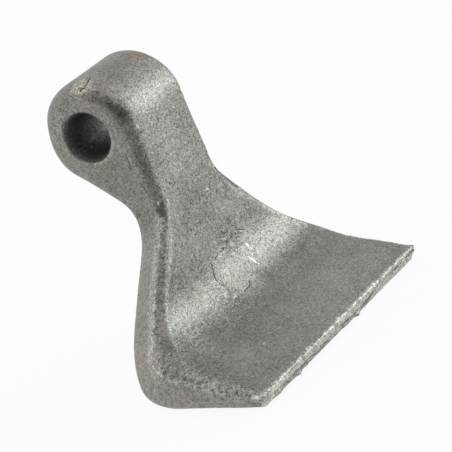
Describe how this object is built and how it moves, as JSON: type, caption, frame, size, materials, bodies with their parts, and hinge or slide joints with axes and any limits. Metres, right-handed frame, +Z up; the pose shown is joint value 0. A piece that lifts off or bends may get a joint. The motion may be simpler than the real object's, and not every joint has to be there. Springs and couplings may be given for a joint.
{
  "type": "flail mower hammer",
  "caption": "Forged steel flail mower hammer with a pin eye on a short stem that flares into a wide scooped blade with a blunt cutting lip.",
  "frame": {"origin": "middle of the pin hole, on its axis and half way along the eye", "axes": "+X along the pin hole, -Y to the front that the scoop faces, +Z up with the sole level"},
  "size_m": [0.1128, 0.0816, 0.1024],
  "materials": {
    "forged_steel": "raw shot-blasted forging skin, mid grey, matt with a fine bright grain"
  },
  "bodies": {
    "root": {"hammer": "forged_steel"}
  },
  "joints": []
}
